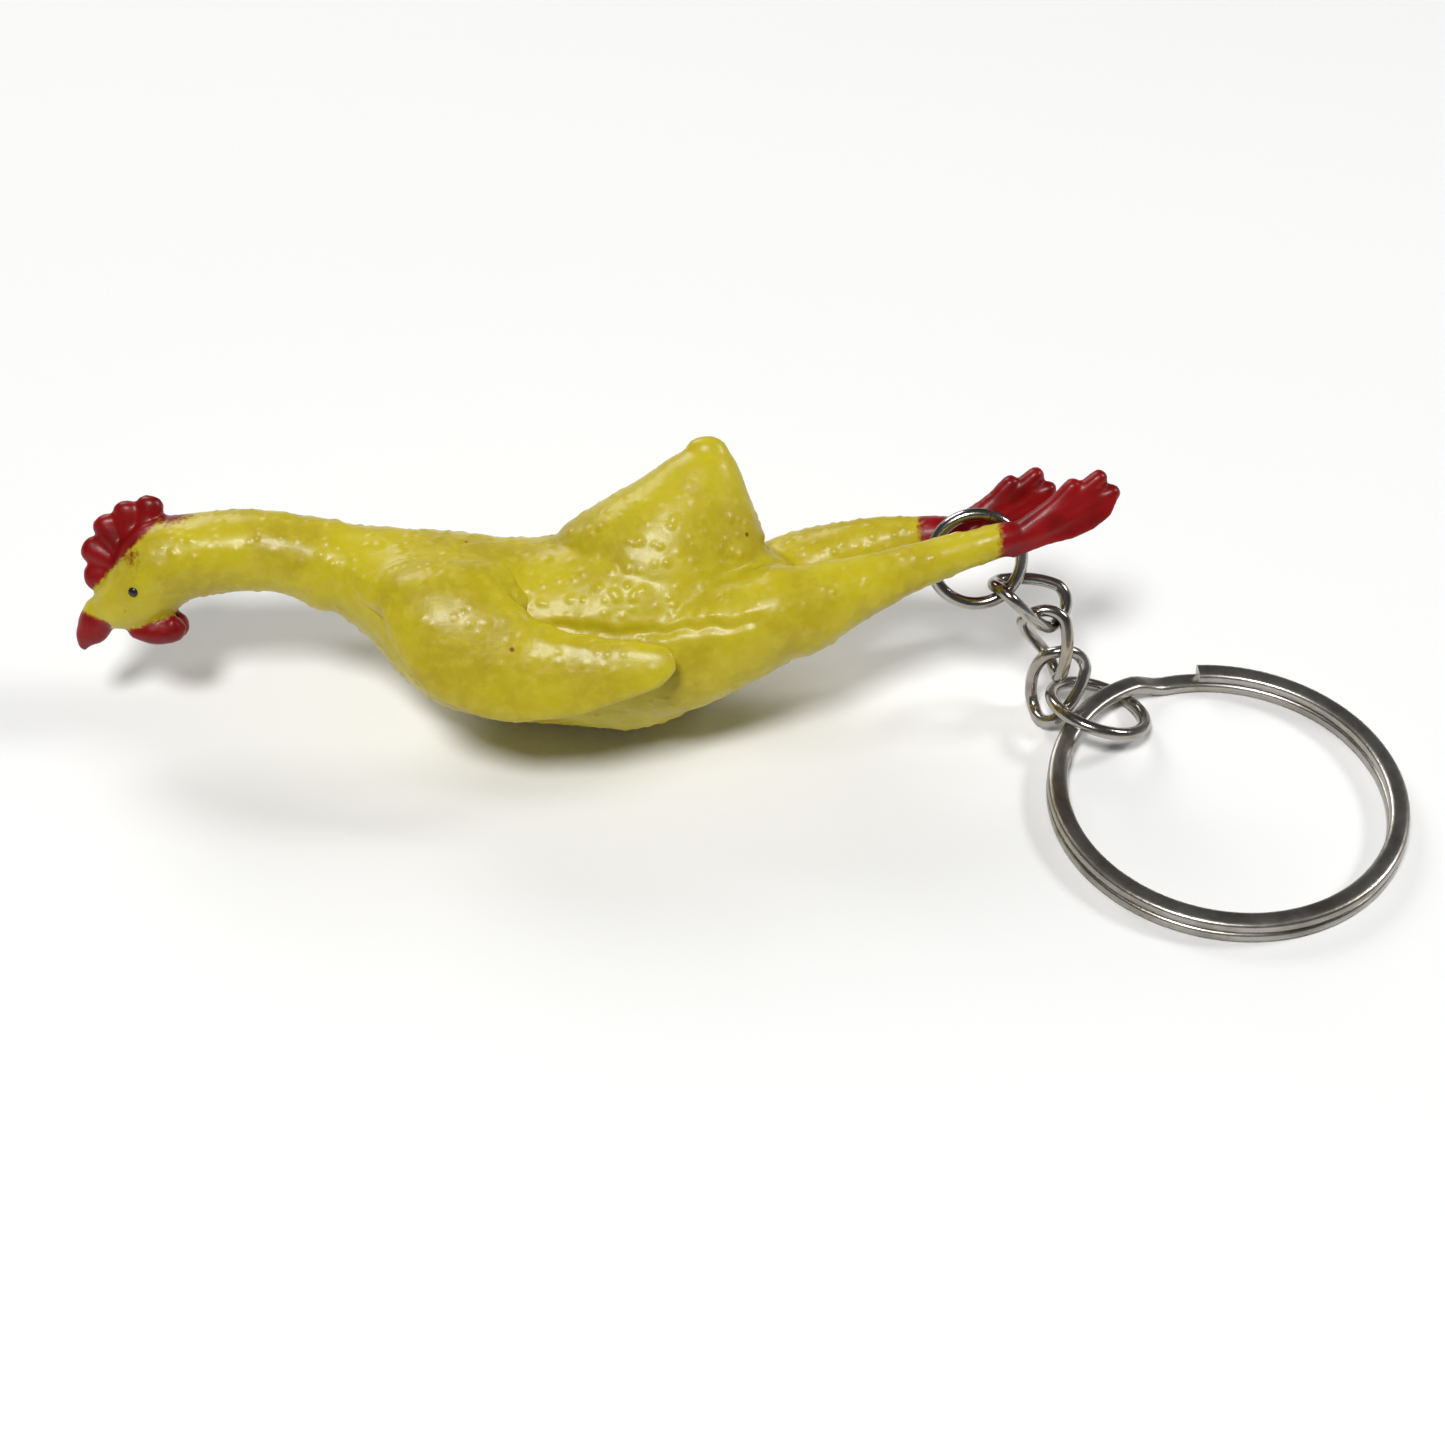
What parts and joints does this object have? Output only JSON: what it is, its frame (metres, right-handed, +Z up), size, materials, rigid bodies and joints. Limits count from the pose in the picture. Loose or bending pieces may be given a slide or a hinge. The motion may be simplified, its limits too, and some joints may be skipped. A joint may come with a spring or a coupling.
{
  "type": "rubber chicken key chain",
  "caption": "Soft rubber chicken with a long neck, bent wings and red comb and feet, hung by its ankles on a short twisted chain and a split key ring.",
  "frame": {"origin": "middle of the object's box, on the surface it lies on", "axes": "+X from the head to the feet and the key ring, +Y to the far side, +Z up"},
  "size_m": [0.1115, 0.0365, 0.024],
  "materials": {
    "yellow_rubber": "glossy goose-bumped soft rubber",
    "red_paint": "glossy rubber sprayed red",
    "black_paint": "glossy black dot",
    "nickel_wire": "bright nickel plate",
    "split_ring_nickel": "bright nickel plate with fine drawn lines"
  },
  "bodies": {
    "torso": {"torso": "yellow_rubber"},
    "neck": {"neck": "yellow_rubber"},
    "head": {"head": "yellow_rubber", "comb": "red_paint", "beak": "red_paint", "wattles": "red_paint", "left_eye": "black_paint", "right_eye": "black_paint"},
    "left_wing": {"left_wing": "yellow_rubber"},
    "right_wing": {"right_wing": "yellow_rubber"},
    "legs": {"left_leg": "yellow_rubber", "right_leg": "yellow_rubber", "left_foot": "red_paint", "right_foot": "red_paint", "ankle_bridge": "red_paint"},
    "jump_ring": {"jump_ring": "nickel_wire"},
    "chain_link_1": {"chain_link_1": "nickel_wire"},
    "chain_link_2": {"chain_link_2": "nickel_wire"},
    "chain_link_3": {"chain_link_3": "nickel_wire"},
    "end_loop": {"end_loop": "nickel_wire"},
    "split_ring": {"split_ring": "split_ring_nickel"}
  },
  "joints": [
    {"name": "neck_bend", "type": "hinge", "parent": "torso", "child": "neck", "pos_m": [-0.0341, 0.0107, 0.01454], "axis": [0, 0.866, -0.5], "range_deg": [-20, 20], "stiffness_Nm_per_rad": 0.015},
    {"name": "head_nod", "type": "hinge", "parent": "neck", "child": "head", "pos_m": [-0.0457, 0.0111, 0.01524], "axis": [0, 0.866, -0.5], "range_deg": [-12, 12], "stiffness_Nm_per_rad": 0.012},
    {"name": "left_wing_flap", "type": "hinge", "parent": "torso", "child": "left_wing", "pos_m": [-0.023, 0.00539, 0.01715], "axis": [-1, 0, 0], "range_deg": [0, 35], "stiffness_Nm_per_rad": 0.006},
    {"name": "right_wing_flap", "type": "hinge", "parent": "torso", "child": "right_wing", "pos_m": [-0.023, 0.01561, 0.01125], "axis": [1, 0, 0], "range_deg": [0, 35], "stiffness_Nm_per_rad": 0.006},
    {"name": "legs_bend", "type": "hinge", "parent": "torso", "child": "legs", "pos_m": [0.0029, 0.0092, 0.01194], "axis": [0, 0.866, -0.5], "range_deg": [-12, 12], "stiffness_Nm_per_rad": 0.03},
    {"name": "jump_ring_swing", "type": "hinge", "parent": "legs", "child": "jump_ring", "pos_m": [0.0201, 0.01175, 0.01636], "axis": [0, 0.866, -0.5], "range_deg": [-15, 15]},
    {"name": "chain_link_1_swing", "type": "hinge", "parent": "jump_ring", "child": "chain_link_1", "pos_m": [0.02219, 0.00954, 0.01254], "axis": [0.766, 0.3214, 0.5567], "range_deg": [-20, 20]},
    {"name": "chain_link_2_swing", "type": "hinge", "parent": "chain_link_1", "child": "chain_link_2", "pos_m": [0.02499, 0.00763, 0.01093], "axis": [-0.6588, -0.2443, 0.7116], "range_deg": [-20, 4]},
    {"name": "chain_link_3_swing", "type": "hinge", "parent": "chain_link_2", "child": "chain_link_3", "pos_m": [0.02747, 0.008, 0.00724], "axis": [-0.9958, -0.0909, 0.0142], "range_deg": [-20, 20]},
    {"name": "end_loop_swing", "type": "hinge", "parent": "chain_link_3", "child": "end_loop", "pos_m": [0.02686, 0.00551, 0.00339], "axis": [0.2364, -0.9476, 0.2149], "range_deg": [-20, 20]},
    {"name": "key_ring_swing", "type": "hinge", "parent": "end_loop", "child": "split_ring", "pos_m": [0.03034, 0.00651, 0.0016], "axis": [0.682, 0.7314, 0], "range_deg": [-12, 4]}
  ]
}
